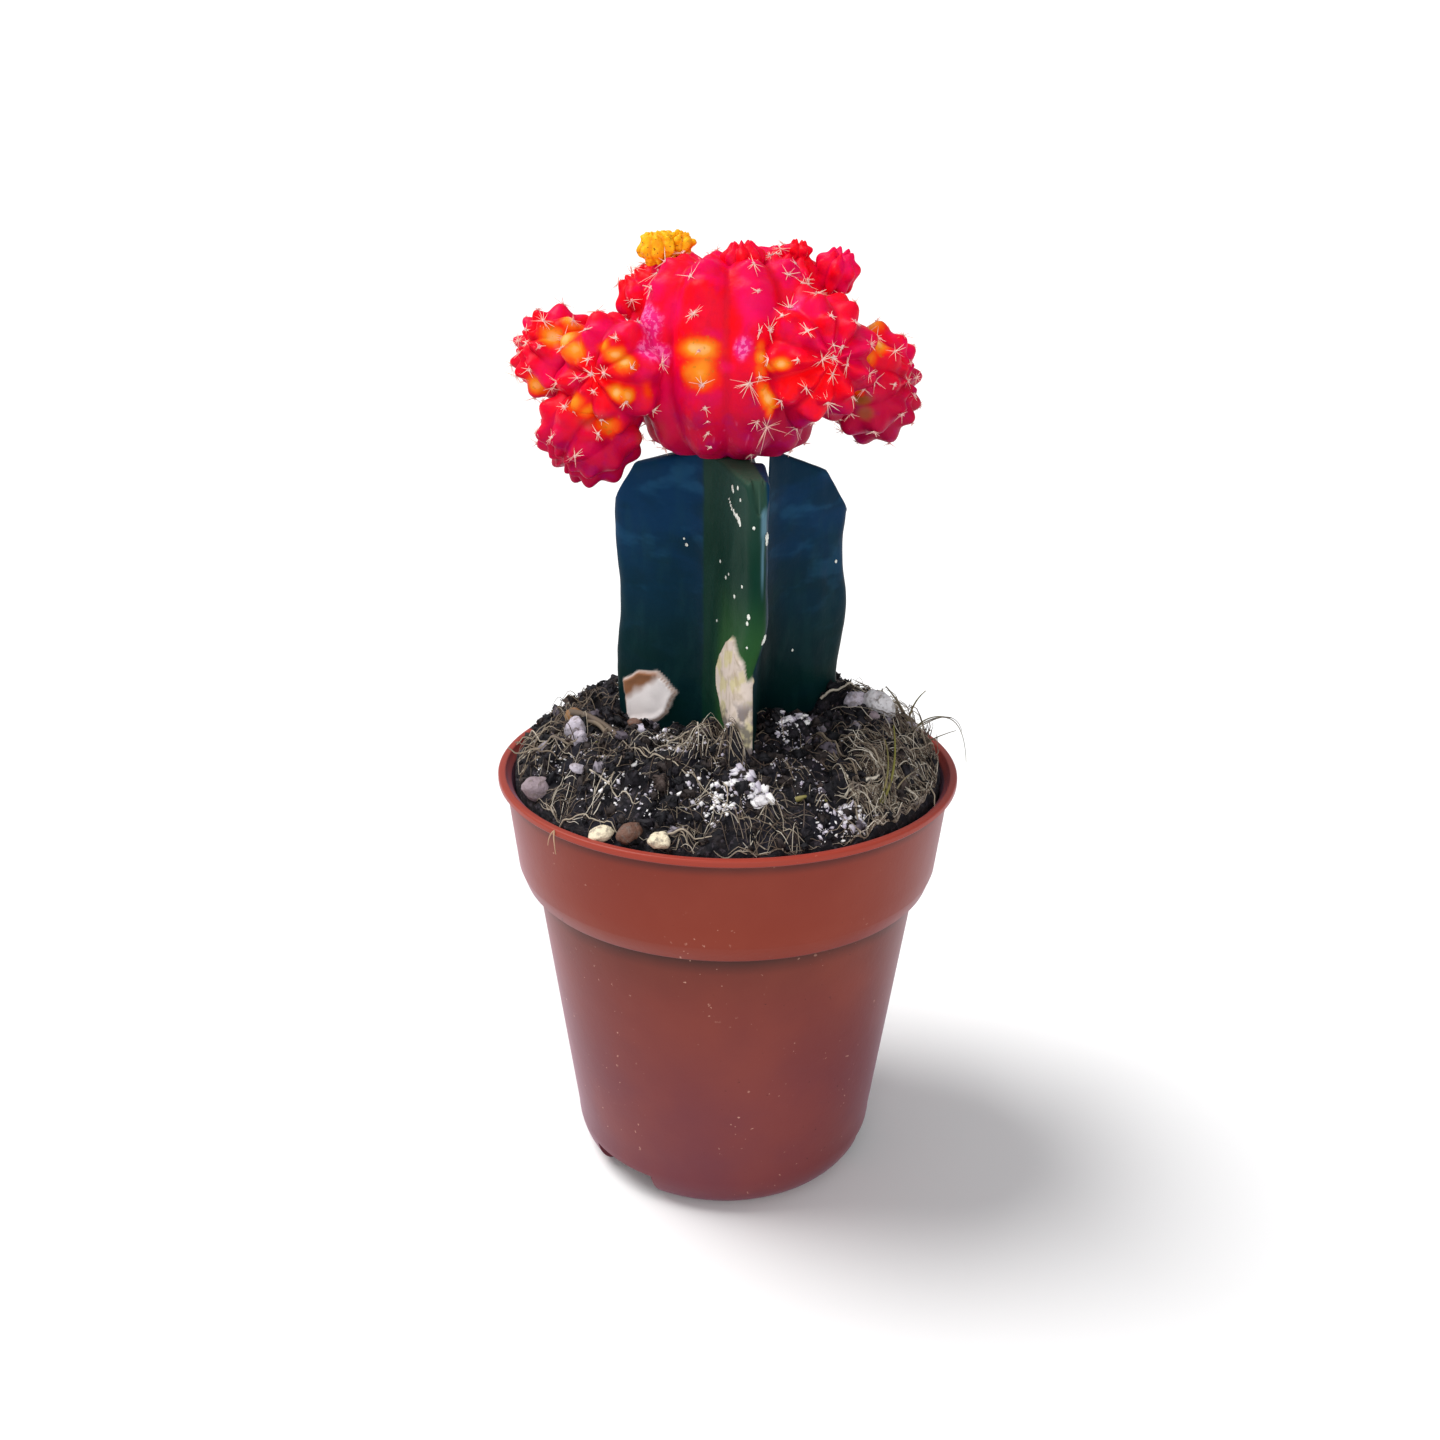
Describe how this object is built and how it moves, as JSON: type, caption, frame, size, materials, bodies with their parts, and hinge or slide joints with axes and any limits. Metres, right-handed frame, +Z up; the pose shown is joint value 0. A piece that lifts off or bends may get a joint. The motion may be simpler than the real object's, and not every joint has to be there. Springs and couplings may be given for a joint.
{
  "type": "potted moon cactus",
  "caption": "Grafted moon cactus: a ribbed pink ball with spiny offsets on a three-winged green stock, in soil in a small plastic nursery pot.",
  "frame": {"origin": "on the ground at the middle of the pot, under the rim's centre", "axes": "+Z up along the pot's axis; -Y towards the viewer of the picture, +X to the viewer's right"},
  "size_m": [0.085, 0.085, 0.1738],
  "materials": {
    "pot": "satin moulded terracotta-coloured plastic",
    "soil": "loose dark peat with perlite and root fibres",
    "rootstock": "smooth waxy blue-green skin with corky scars",
    "scion": "smooth juicy pink to crimson skin with pale spines",
    "yellow_pups": "smooth waxy yellow skin"
  },
  "bodies": {
    "root": {"pot": "pot", "soil": "soil", "rootstock": "rootstock", "scion": "scion", "yellow_pups": "yellow_pups"}
  },
  "joints": []
}
